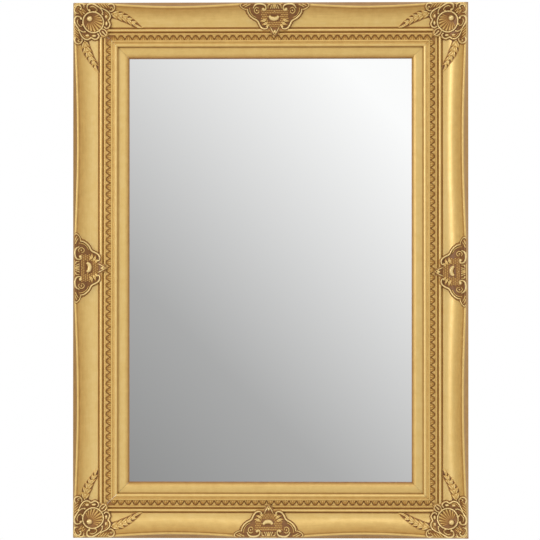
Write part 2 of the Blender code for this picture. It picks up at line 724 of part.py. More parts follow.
def hangers(top_rail):
    """Keyhole plates let into the back of the top rail, each with a screw above and below."""
    steel = finish_of("zinc_plated_steel", (0.55, 0.54, 0.50), 0.4, 1.0)
    for side, x in (("left", -PLATE_X), ("right", PLATE_X)):
        half_wide, half_long = PLATE_WIDE / 2, PLATE_LONG / 2
        plate = block("hanger_plate_" + side, (x - half_wide, x + half_wide), (-half_long, half_long),
                      GAP, GAP + PLATE_THICK, steel)
        bed = 2 * GAP + PLATE_THICK
        recess = bmesh.new()
        reach = half_long + GAP
        loft(recess, [[(x + i * (half_wide + GAP), y, j * reach) for i, j in ((-1, -1), (1, -1), (1, 1), (-1, 1))]
                      for y in (1.0, -bed)])
        cut_by(top_rail, recess, "recess_" + side)
        pocket = bmesh.new()
        low = -KEYHOLE_RISE / 2 - KEYHOLE_HEAD - 2.0
        loft(pocket, [[(x + i * POCKET_WIDE / 2, y, low + j * POCKET_LONG) for i, j in
                       ((-1, 0), (1, 0), (1, 1), (-1, 1))] for y in (0.5, -bed - POCKET_DEEP)])
        cut_by(top_rail, pocket, "pocket_" + side)
        head = bmesh.new()
        post(head, x, -KEYHOLE_RISE / 2, KEYHOLE_HEAD, -2.0, 4.0, 12)
        cut_by(plate, head, "head_hole_" + side)
        slot = bmesh.new()
        rings = []
        for y in (2.0, -4.0):
            ring = [(x - KEYHOLE_SLOT, y, -KEYHOLE_RISE / 2), (x + KEYHOLE_SLOT, y, -KEYHOLE_RISE / 2)]
            for k in range(5):
                w = math.pi * k / 4
                ring.append((x + KEYHOLE_SLOT * math.cos(w), y, KEYHOLE_RISE / 2 + KEYHOLE_SLOT * math.sin(w)))
            rings.append(ring)
        loft(slot, rings)
        cut_by(plate, slot, "slot_" + side)
        for level, z in (("upper", SCREW_RISE), ("lower", -SCREW_RISE)):
            for target, extra in ((plate, "plate"), (top_rail, "rail")):
                hole = bmesh.new()
                if target is plate:
                    post(hole, x, z, SCREW_HEAD + 0.7, GAP - 0.4, GAP + PLATE_THICK + 0.4, SCREW_SIDES,
                         SCREW_SHANK + GAP)
                else:
                    post(hole, x, z, SCREW_SHANK + GAP, 0.5, bed + SCREW_LONG, SCREW_SIDES)
                cut_by(target, hole, f"screw_hole_{extra}_{side}_{level}")
            screw = bmesh.new()
            head_back = GAP + 0.1
            rings = []
            for h, r in ((head_back, SCREW_HEAD), (head_back + 1.5, SCREW_SHANK), (SCREW_LONG, SCREW_SHANK * 0.9)):
                turns = [2 * math.pi * k / SCREW_SIDES for k in range(SCREW_SIDES)]
                rings.append([(x + r * math.cos(w), -h, z + r * math.sin(w)) for w in turns])
            loft(screw, rings)
            name = f"hanger_screw_{side}_{level}"
            add_object(name, mesh_of(screw, name), steel)


def main():
    clear_scene()
    rails = {rail: frame_length(rail) for rail in ("top", "bottom", "left", "right")}
    for rail in rails:
        slip_length(rail)
    corner_ornaments()
    centre_crests()
    glass_and_board()
    hangers(rails["top"])


main()
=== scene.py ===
import math

import bpy
import numpy as np
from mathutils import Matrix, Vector


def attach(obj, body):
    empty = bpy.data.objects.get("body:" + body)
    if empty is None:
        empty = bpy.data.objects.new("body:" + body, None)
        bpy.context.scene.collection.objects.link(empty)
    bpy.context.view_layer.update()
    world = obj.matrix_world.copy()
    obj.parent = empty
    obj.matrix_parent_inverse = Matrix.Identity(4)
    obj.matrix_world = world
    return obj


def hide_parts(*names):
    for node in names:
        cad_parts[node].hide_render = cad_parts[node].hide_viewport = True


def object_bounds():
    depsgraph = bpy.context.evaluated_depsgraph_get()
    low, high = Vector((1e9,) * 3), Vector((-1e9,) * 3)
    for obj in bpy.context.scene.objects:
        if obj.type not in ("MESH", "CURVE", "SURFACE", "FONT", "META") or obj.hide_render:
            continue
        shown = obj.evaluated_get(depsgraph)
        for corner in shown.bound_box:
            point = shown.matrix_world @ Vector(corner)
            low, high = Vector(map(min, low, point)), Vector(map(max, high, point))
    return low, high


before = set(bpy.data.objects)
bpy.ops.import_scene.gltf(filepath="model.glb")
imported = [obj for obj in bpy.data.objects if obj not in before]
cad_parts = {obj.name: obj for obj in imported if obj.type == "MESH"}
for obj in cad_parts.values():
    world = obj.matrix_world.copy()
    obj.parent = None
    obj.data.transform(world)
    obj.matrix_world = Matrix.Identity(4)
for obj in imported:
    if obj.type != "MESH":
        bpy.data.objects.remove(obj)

# The camera. It stands five metres off the wall for a catalogue picture, all but square on to the mirror:
# a hand's breadth to the right of its middle and a little low. Its view is just wider than the frame is high.
cad_low, cad_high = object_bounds()
STAND_OFF = 5.0
VIEW_WIDTH = 1.08
AIM = Vector(((cad_low.x + cad_high.x) / 2 - 0.001, 0, (cad_low.z + cad_high.z) / 2 + 0.0003))
ASIDE, BELOW = 0.105, 0.035

bpy.ops.object.camera_add(location=AIM + Vector((ASIDE, -STAND_OFF, -BELOW)))
camera = bpy.context.object
camera.rotation_euler = (AIM - camera.location).to_track_quat("-Z", "Y").to_euler()
camera.data.lens = camera.data.sensor_width * STAND_OFF / VIEW_WIDTH
bpy.context.scene.camera = camera
bpy.context.scene.view_settings.view_transform = "Standard"


# The frame lengths. Four mitred lengths of one pine moulding: a ridge that sweeps in between the castings,
# a wide hollow, a bead, a carved band and a small hollow down to the rebate. They are planed and carved as
# straight stock on the bench, cut at 45 degrees, glued and pinned, then gilded and toned together.
# On the bench, x runs along a length, y in across it towards the glass, and z out from the wall.
MM = 0.001
SIDE, TOP, BOTTOM = cad_high.x / MM, cad_high.z / MM, cad_low.z / MM
WIDE, HIGH = 2 * SIDE, TOP - BOTTOM
MITRE_GAP = 0.15 * math.sqrt(2)
SCOOP_START, SCOOP_END = 11.8, 51.4
SWEEP, SWEEP_START, SWEEP_END = 5.5, 78.0, 60.0
BAND_START, LEAF_PITCH = 82.5, 15.0
STATION_STEP = 13.0
REBATE = 86.5


def set_apart(piece, name):
    """Names a new piece and leaves it the only one selected."""
    piece.name = piece.data.name = name
    bpy.ops.object.select_all(action="DESELECT")
    piece.select_set(True)
    bpy.context.view_layer.objects.active = piece
    return piece


def finished(piece, *kinds, **settings):
    """Adds a modifier with these settings and applies it."""
    for kind in kinds:
        tool = piece.modifiers.new(kind, kind)
        for key, value in settings.items():
            setattr(tool, key, value)
        set_apart(piece, piece.name)
        bpy.ops.object.modifier_apply(modifier=tool.name)


def points_of(piece):
    """The piece's points as rows of millimetres."""
    flat = np.empty(len(piece.data.vertices) * 3, np.float32)
    piece.data.vertices.foreach_get("co", flat)
    return flat.reshape(-1, 3).astype(float) / MM


def put_points(piece, points):
    piece.data.vertices.foreach_set("co", (points * MM).astype(np.float32).ravel())
    piece.data.update()


def faces_outwards(piece):
    set_apart(piece, piece.name)
    bpy.ops.object.mode_set(mode="EDIT")
    bpy.ops.mesh.select_all(action="SELECT")
    bpy.ops.mesh.normals_make_consistent(inside=False)
    bpy.ops.object.mode_set(mode="OBJECT")


def along_curve(points, step):
    """A smooth curve through the points, cut about a step apart."""
    p = [Vector(q) for q in points]
    p = [2 * p[0] - p[1], *p, 2 * p[-1] - p[-2]]
    line = []
    for a, b, c, d in zip(p, p[1:], p[2:], p[3:]):
        count = max(1, round((c - b).length / step))
        for t in (i / count for i in range(count)):
            line.append(0.5 * (2 * b + t * (c - a) + t * t * (2 * a - 5 * b + 4 * c - d)
                               + t * t * t * (3 * b - a - 3 * c + d)))
    return line + [p[-2]]


def arc(centre, radius, first, last, count):
    turns = (math.radians(first + (last - first) * i / count) for i in range(count + 1))
    return [(centre[0] + radius * math.cos(w), centre[1] + radius * math.sin(w)) for w in turns]


def scoop_height(u, shift=0.0):
    q = np.clip((u - SCOOP_START - shift) / (SCOOP_END - SCOOP_START - shift), 0.0, 1.0)
    return 20.0 + 22.6 * (1.0 - q) ** 2.2


def moulding_section():
    """The section of the stock, as (y, z) points round from the back edge."""
    section = [(0, 0), (0, 5.5)]
    section += [tuple(q) for q in along_curve([(1.2, 7), (2.6, 11), (4.2, 16), (5.8, 23), (6.2, 30), (5.6, 40)], 2.4)]
    section += arc((7.75, 42.75), 2.25, 180, 30, 6) + [(10.3, 42.9), (10.8, 42.35), (11.3, 42.3)]
    for i in range(25):
        u = SCOOP_START + (SCOOP_END - SCOOP_START) * i / 24
        section.append((u, float(scoop_height(u))))
    section += [(51.9, 18.6), (52.7, 18.2), (53.9, 18.4), (54.5, 19.6)]
    section += arc((57.1, 21.3), 2.7, 160, 12, 8)
    section += [(60.2, 19.4), (60.9, 18.7), (62.2, 18.8), (62.8, 20.2), (63.4, 21.5), (66.2, 21.5)]
    section += [(66.6, 20.5), (76.6, 20.5), (77.0, 24.6), (77.6, 25.4), (79.8, 25.6), (80.6, 25.0)]
    section += [tuple(q) for q in along_curve([(81.2, 24.2), (82.6, 23.8), (84.0, 24.6), (85.4, 25.9), (86.8, 26.0),
                                               (88.4, 25.4), (89.8, 24.4), (90.8, 23.0)], 0.8)]
    section += [(91, 22.0), (91, 19.5), (REBATE, 19.5), (REBATE, 0)]
    return section


def length_of(rail):
    return WIDE if rail in ("top", "bottom") else HIGH


def sweep_at(s, length):
    """How far the ridge has swept in at s along a length."""
    s = np.minimum(s, length - s)
    t = (s - SWEEP_START) / (length / 2 - SWEEP_END - SWEEP_START)
    return np.where((t > 0) & (t < 1), SWEEP * np.sin(math.pi * np.clip(t, 0, 1)), 0.0)


def sweep_share(u, h):
    """How much of the sweep a point of the section takes: all at the ridge, none at the back or the bead."""
    wall = np.interp(h, [7, 16, 30], [0, 0.5, 1])
    hollow = np.clip((SCOOP_END - u) / (SCOOP_END - SCOOP_START), 0, 1)
    return np.where(u < SCOOP_START, wall, np.where(h > 1, hollow, 0))


def toned(u, h):
    """How much brown toner lies on each part of the section: it was wiped off what stands proud. On the outer side wall
    it is painted shade as well.
    """
    marks = [(6.0, 0.30), (7.6, 0.16), (9.6, 0.24), (10.4, 0.55), (11.3, 0.58), (12.4, 0.34), (22, 0.25),
             (38, 0.15), (50.4, 0.15), (51.4, 0.36), (52.2, 0.66), (53.9, 0.66), (54.8, 0.28), (57.1, 0.04),
             (59.4, 0.22), (60.6, 0.66), (62.2, 0.66), (63.2, 0.26), (66.0, 0.24), (66.8, 0.72), (76.4, 0.72),
             (77.0, 0.34), (79.6, 0.18), (81.2, 0.42), (82.8, 0.34), (85.4, 0.16), (88.4, 0.14), (90.6, 0.5),
             (91, 0.8)]
    on_face = np.interp(u, [m[0] for m in marks], [m[1] for m in marks])
    # The outer side wall is darkened all round, darkest just under the ridge: brown toner, and painted shade for the
    # shade it stands in.
    wall = np.interp(h, [0, 30, 40, 43, 44.4], [0.52, 0.62, 0.66, 0.45, 0.16])
    return np.where((u < 8) & (h < 44), wall, on_face)


def on_wall(piece, rail):
    """Takes a piece from the bench to its side of the frame."""
    s, u, h = points_of(piece).T
    across = rail in ("top", "bottom")
    x = s - SIDE if across else u - SIDE if rail == "left" else SIDE - u
    z = TOP - s if not across else TOP - u if rail == "top" else BOTTOM + u
    put_points(piece, np.stack([x, -h, z], axis=1))
    faces_outwards(piece)


def mark(piece, name, values):
    layer = piece.data.attributes.get(name) or piece.data.attributes.new(name, "FLOAT", "POINT")
    layer.data.foreach_set("value", np.asarray(values, np.float32))


def run_of_stock(section, length):
    """A closed line pulled into the section, drawn out along the length and mitred at both ends."""
    bpy.ops.mesh.primitive_circle_add(vertices=len(section), radius=0.01)
    stock = set_apart(bpy.context.object, "stock")
    for vert, (u, h) in zip(stock.data.vertices, section):
        vert.co = (0, u * MM, h * MM)
    steps = round(length / STATION_STEP)
    bpy.ops.object.mode_set(mode="EDIT")
    bpy.ops.mesh.select_all(action="SELECT")
    for _ in range(steps):
        bpy.ops.mesh.extrude_region_move(TRANSFORM_OT_translate={"value": (length / steps * MM, 0, 0)})
    for spot, lean in ((MITRE_GAP, (-1, 1, 0)), (length - MITRE_GAP, (1, 1, 0))):
        bpy.ops.mesh.select_all(action="SELECT")
        bpy.ops.mesh.bisect(plane_co=(spot * MM, 0, 0), plane_no=lean, use_fill=True, clear_outer=True)
    bpy.ops.object.mode_set(mode="OBJECT")
    return stock


def carved_leaves(length):
    """The carved band of one length: round-ended leaves with three ribs, and smooth darts between them."""
    count = round((length - 2 * BAND_START) / LEAF_PITCH)
    pitch = (length - 2 * BAND_START) / count
    bpy.ops.mesh.primitive_grid_add(x_subdivisions=6, y_subdivisions=4, size=1)
    leaf = set_apart(bpy.context.object, "leaf")
    bench = points_of(leaf) * MM
    across, down = 2 * bench[:, 0], bench[:, 1] + 0.5
    half = 0.49 * pitch * np.interp(down, [0, 0.25, 0.5, 0.75, 1], [0.24, 0.52, 0.70, 0.86, 0.98])
    rib = np.round(3 * (across + 1)).astype(int) % 2 == 1
    edge = (np.abs(across) > 0.99) | (down < 0.01)
    height = np.where(edge, 21.5, 22.3 + 1.7 * rib * np.interp(down, [0, 0.25, 0.75, 1], [0.6, 1.0, 1.0, 0.6]))
    start = 68.4 + 1.5 * across ** 2 * (1 - down)
    put_points(leaf, np.stack([across * half, start + (76.8 - start) * down, height], axis=1))
    mark(leaf, "toner_and_shade", np.where(edge, 0.74, np.where(rib, 0.24, 0.62)) - 0.12 * down)
    bpy.ops.mesh.primitive_circle_add(vertices=14, radius=1, fill_type="TRIFAN")
    dart = set_apart(bpy.context.object, "dart")
    half_dart = [(6.2, 66.2), (4.7, 67.3), (3.5, 68.8), (2.4, 70.4), (1.3, 72.0), (0.5, 73.2)]
    rim = [(0, 66.2), *half_dart, (0, 73.7), *[(-s, u) for s, u in reversed(half_dart)]]
    middle = np.argmin(np.linalg.norm(points_of(dart), axis=1))
    ring = [v.index for v in dart.data.vertices if v.index != middle]
    shape = np.full((15, 3), (pitch / 2, 69.0, 24.4))
    for index, (s, u) in zip(ring, rim):
        shape[index] = (pitch / 2 + s, u, 21.7)
    put_points(dart, shape)
    mark(dart, "toner_and_shade", np.where(shape[:, 2] > 24, 0.02, 0.22))
    leaf.select_set(True)
    bpy.context.view_layer.objects.active = leaf
    bpy.ops.object.join()
    bpy.ops.object.mode_set(mode="EDIT")
    bpy.ops.mesh.select_all(action="SELECT")
    bpy.ops.mesh.extrude_region_move(TRANSFORM_OT_translate={"value": (0, 0, 0)})
    bpy.ops.object.mode_set(mode="OBJECT")
    carved = points_of(leaf)
    foot = ~np.array([v.select for v in leaf.data.vertices])
    carved[foot, 2] = 20.2
    carved[:, 0] += BAND_START
    put_points(leaf, carved)
    bpy.ops.object.mode_set(mode="EDIT")
    bpy.ops.mesh.select_all(action="SELECT")
    bpy.ops.mesh.fill_holes(sides=0)
    bpy.ops.object.mode_set(mode="OBJECT")
    finished(leaf, "ARRAY", count=count + 1, use_relative_offset=False, use_constant_offset=True,
             constant_offset_displace=(pitch * MM, 0, 0))
    return leaf


def grain_and_tone(tree, along):
    """Noise that the gilding and the bare wood share: cloudy patches, and streaks along the length."""
    nodes, links = tree.nodes, tree.links
    coords = nodes.new("ShaderNodeTexCoord")
    stretch = nodes.new("ShaderNodeMapping")
    stretch.inputs["Scale"].default_value = along
    links.new(coords.outputs["Object"], stretch.inputs["Vector"])
    streaks = nodes.new("ShaderNodeTexNoise")
    streaks.inputs["Scale"].default_value = 420.0
    streaks.inputs["Detail"].default_value = 3.0
    links.new(stretch.outputs["Vector"], streaks.inputs["Vector"])
    clouds = nodes.new("ShaderNodeTexNoise")
    clouds.inputs["Scale"].default_value = 75.0
    clouds.inputs["Detail"].default_value = 5.0
    clouds.inputs["Roughness"].default_value = 0.62
    links.new(coords.outputs["Object"], clouds.inputs["Vector"])
    return coords, streaks, clouds


def weighed(tree, parts):
    """The sum of outputs, each times its weight, plus plain numbers."""
    total = None
    for source, weight, centre in parts:
        step = tree.nodes.new("ShaderNodeMath")
        step.operation = "MULTIPLY_ADD"
        tree.links.new(source, step.inputs[0])
        step.inputs[1].default_value = weight
        step.inputs[2].default_value = -weight * centre
        if total is not None:
            both = tree.nodes.new("ShaderNodeMath")
            tree.links.new(total, both.inputs[0])
            tree.links.new(step.outputs[0], both.inputs[1])
            step = both
        total = step.outputs[0]
    return total


def colours_over(tree, value, stops):
    ramp = tree.nodes.new("ShaderNodeValToRGB")
    band = ramp.color_ramp
    while len(band.elements) < len(stops):
        band.elements.new(0.5)
    for element, (place, colour) in zip(band.elements, stops):
        element.position = place
        element.color = (*colour, 1.0)
    tree.links.new(value, ramp.inputs["Fac"])
    return ramp.outputs["Color"]


def spread(tree, value, low, high):
    change = tree.nodes.new("ShaderNodeMapRange")
    change.inputs["To Min"].default_value = low
    change.inputs["To Max"].default_value = high
    tree.links.new(value, change.inputs["Value"])
    return change.outputs["Result"]


GOLD_TO_UMBER = ((0.0, (0.83, 0.62, 0.27)), (0.22, (0.72, 0.485, 0.155)), (0.45, (0.53, 0.30, 0.075)),
                 (0.70, (0.31, 0.135, 0.027)), (1.0, (0.125, 0.042, 0.008)))


def antique_gold(name, along=(1, 1, 1), speckle=0.10, painted_shade=0.0):
    """Gold paint with brown toner in the hollows: an attribute says how much toner is left, and where shade is painted
    into the colour as well. A further even painted shade can darken the whole material.
    """
    material = bpy.data.materials.new(name)
    material.use_nodes = True
    tree = material.node_tree
    shader = tree.nodes["Principled BSDF"]
    coords, streaks, clouds = grain_and_tone(tree, along)
    toner_and_shade = tree.nodes.new("ShaderNodeAttribute")
    toner_and_shade.attribute_name = "toner_and_shade"
    fine = tree.nodes.new("ShaderNodeTexNoise")
    fine.inputs["Scale"].default_value = 900.0
    fine.inputs["Detail"].default_value = 2.0
    tree.links.new(coords.outputs["Object"], fine.inputs["Vector"])
    # The toner attribute carries painted shade as well: on the outer side walls, down the slip's sight edge, and on the
    # low sheets round the castings.
    toner = weighed(tree, [(toner_and_shade.outputs["Fac"], 1.0, -painted_shade), (clouds.outputs["Fac"], 0.22, 0.5),
                           (streaks.outputs["Fac"], 0.12, 0.5), (fine.outputs["Fac"], speckle, 0.5)])
    tree.links.new(colours_over(tree, toner, GOLD_TO_UMBER), shader.inputs["Base Color"])
    tree.links.new(spread(tree, toner, 0.45, 0.15), shader.inputs["Metallic"])
    tree.links.new(spread(tree, toner, 0.36, 0.62), shader.inputs["Roughness"])
    shader.inputs["Specular IOR Level"].default_value = 0.35
    shader.inputs["Coat Weight"].default_value = 0.25
    shader.inputs["Coat Roughness"].default_value = 0.30
    bump = tree.nodes.new("ShaderNodeBump")
    bump.inputs["Strength"].default_value = 0.35
    bump.inputs["Distance"].default_value = 0.00012
    rough = weighed(tree, [(fine.outputs["Fac"], 0.7, 0.0), (streaks.outputs["Fac"], 0.5, 0.0)])
    tree.links.new(rough, bump.inputs["Height"])
    tree.links.new(bump.outputs["Normal"], shader.inputs["Normal"])
    return material


def stained_pine(name, along):
    """The back of the frame: pine, stained brown and not gilded."""
    material = bpy.data.materials.new(name)
    material.use_nodes = True
    tree = material.node_tree
    shader = tree.nodes["Principled BSDF"]
    _, streaks, clouds = grain_and_tone(tree, along)
    tone = weighed(tree, [(streaks.outputs["Fac"], 1.2, 0.1), (clouds.outputs["Fac"], 0.5, 0.5)])
    stops = ((0.2, (0.105, 0.050, 0.022)), (0.5, (0.19, 0.10, 0.045)), (0.8, (0.27, 0.155, 0.075)))
    tree.links.new(colours_over(tree, tone, stops), shader.inputs["Base Color"])
    shader.inputs["Roughness"].default_value = 0.68
    bump = tree.nodes.new("ShaderNodeBump")
    bump.inputs["Strength"].default_value = 0.4
    bump.inputs["Distance"].default_value = 0.0002
    tree.links.new(streaks.outputs["Fac"], bump.inputs["Height"])
    tree.links.new(bump.outputs["Normal"], shader.inputs["Normal"])
    return material


along_x, along_z = (0.06, 1.0, 1.0), (1.0, 1.0, 0.06)
# The top and bottom lengths get a little more toner than the uprights: a painted shade, since less light falls on them.
gold_across_shaded = antique_gold("gold_across_shaded", along_x, painted_shade=0.05)
gold_upright = antique_gold("gold_upright", along_z)
pine_across = stained_pine("pine_across", along_x)
pine_upright = stained_pine("pine_upright", along_z)
PLATE_X, PLATE_WIDE, PLATE_LONG = 250.0, 18.0, 45.0
RECESS_DEEP, POCKET_DEEP = 2.0, 12.0


def cut_block(piece, low, high):
    """Cuts a square-sided recess between two corners."""
    middle = [(a + b) / 2 * MM for a, b in zip(low, high)]
    bpy.ops.mesh.primitive_cube_add(size=1, location=middle, scale=[(b - a) * MM for a, b in zip(low, high)])
    cutter = set_apart(bpy.context.object, "cutter")
    bpy.ops.object.transform_apply(location=True, rotation=True, scale=True)
    finished(piece, "BOOLEAN", operation="DIFFERENCE", object=cutter)
    bpy.data.objects.remove(cutter, do_unlink=True)


for rail in ("top", "bottom", "left", "right"):
    length = length_of(rail)
    rail_piece = set_apart(run_of_stock(moulding_section(), length), "frame_length_" + rail)
    finished(rail_piece, "BEVEL", width=0.3 * MM, segments=1, limit_method="ANGLE", angle_limit=math.radians(50))
    s, u, h = points_of(rail_piece).T
    mark(rail_piece, "toner_and_shade", toned(u, h))
    put_points(rail_piece, np.stack([s, u + sweep_share(u, h) * sweep_at(s, length), h], axis=1))
    if rail == "top":
        for s in (SIDE - PLATE_X, SIDE + PLATE_X):
            cut_block(rail_piece, (s - 9.3, 22.2, -1), (s + 9.3, 67.8, RECESS_DEEP))
            cut_block(rail_piece, (s - 7, 32, -1), (s + 7, 57, POCKET_DEEP))
    leaves = carved_leaves(length)
    set_apart(leaves, "leaves")
    rail_piece.select_set(True)
    bpy.context.view_layer.objects.active = rail_piece
    bpy.ops.object.join()
    on_wall(rail_piece, rail)
    upright = rail in ("left", "right")
    rail_piece.data.materials.append(gold_upright if upright else gold_across_shaded)
    rail_piece.data.materials.append(pine_upright if upright else pine_across)
    for face in rail_piece.data.polygons:
        face.material_index = 1 if face.normal.y > 0.9 or face.center.y > -2.5 * MM else 0
    set_apart(rail_piece, rail_piece.name)
    bpy.ops.object.shade_smooth_by_angle(angle=math.radians(38))
    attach(rail_piece, "root")
    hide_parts(rail + "_rail")


# The slip. Four lengths of a plain inner moulding, gilded apart from the frame and dropped into its rebate,
# with mitres of their own. It is flat at first, then rolls down to a thin sight edge, and its own rebate
# behind that edge holds the glass.
SLIP_OUT, SLIP_IN = REBATE + 0.3, 113.0
GLASS_BACK, GLASS_FRONT = 3.2, 7.5


def slip_section():
    section = [(SLIP_OUT, GLASS_BACK), (SLIP_OUT, 18.7), (SLIP_OUT + 0.5, 19.2), (93.5, 19.2)]
    roll = [(103.5, 19.0), (106.5, 18.2), (109.2, 16.6), (111.4, 14.6), (112.6, 13.1)]
    section += [tuple(q) for q in along_curve(roll, 0.8)]
    section += [(SLIP_IN, 12.3), (SLIP_IN, GLASS_FRONT), (105.4, GLASS_FRONT), (105.4, GLASS_BACK)]
    return section


for rail in ("top", "bottom", "left", "right"):
    slip_piece = set_apart(run_of_stock(slip_section(), length_of(rail)), "slip_" + rail)
    s, u, h = points_of(slip_piece).T
    # From the flat top the tone darkens down the roll to the sight edge, and the edge's face by the glass is dark:
    # brown toner in the crevice, and painted shade.
    tone = np.interp(u, [86.8, 91.0, 92.2, 98, 104, 108.5, 111, 112.4, 113],
                     [0.9, 0.7, 0.22, 0.14, 0.18, 0.32, 0.5, 0.66, 0.7])
    mark(slip_piece, "toner_and_shade", np.where(h < 12.2, 0.75, tone))
    on_wall(slip_piece, rail)
    slip_piece.data.materials.append(gold_upright if rail in ("left", "right") else gold_across_shaded)
    set_apart(slip_piece, slip_piece.name)
    bpy.ops.object.shade_smooth_by_angle(angle=math.radians(38))
    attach(slip_piece, "root")
    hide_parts(rail + "_slip")


# The corner castings. Each is pressed in one mould from wood paste, bent over the mitre while it is soft,
# and glued: a shell with its pearl in a raised ring, C scrolls, a lobed rim, a husk and two sprays of
# leaves. The four are alike, turned about. They are gilded, and the toner is wiped off their high places.
BED_GAP = 0.15
VOXEL = 0.5


def envelope(u):
    """The height of the casting's own ground, a smooth line over the ridge, the hollow and the bead."""
    chord = 43.6 - (u - SCOOP_START) / (SCOOP_END - SCOOP_START) * 20.0
    hollow = 0.6 * np.maximum(scoop_height(u), 21.0) + 0.4 * chord
    inner = 22.6 + 1.8 * np.exp(-((u - 57) / 4) ** 2)
    return np.where(u < SCOOP_START, 44.4, np.where(u < SCOOP_END, hollow, inner))


def bed_height(u, shift):
    """The face of the moulding that a casting is glued to, and nothing outside its ridge."""
    ridge = np.interp(u - shift, [4.9, 5.5, 6.2, 7.75, 9.3, 10.3, 11.8], [0, 42.9, 44.5, 45.1, 44.5, 43.4, 42.6])
    inner = np.interp(u, [51.4, 54.2, 55.0, 57.1, 65.8, 66.4, 78], [20, 20.4, 23.2, 24, 24, 25.2, 25.7])
    hollow = np.where(u < SCOOP_END, scoop_height(u, shift), inner)
    return BED_GAP + np.where(u < SCOOP_START + shift, ridge, hollow)


def corner_bed(a, b):
    along = np.maximum(np.maximum(a, b), BAND_START)
    shift = np.where(a > b, sweep_at(along, WIDE), sweep_at(along, HIGH))
    return bed_height(np.minimum(a, b), shift)


def corner_ground(a, b):
    soft = 7.0
    u = -soft * np.log(np.exp(-a / soft) + np.exp(-b / soft)) + 2.0
    reach = envelope(np.maximum(u, np.minimum(a, b) - 5.0))
    bed = corner_bed(a, b)
    close = np.clip((np.maximum(a, b) - 74.0) / 12.0, 0, 1)
    close = np.where(np.minimum(a, b) > 6, close, 0)
    return np.maximum(reach + close * (bed - reach), bed + 0.5)


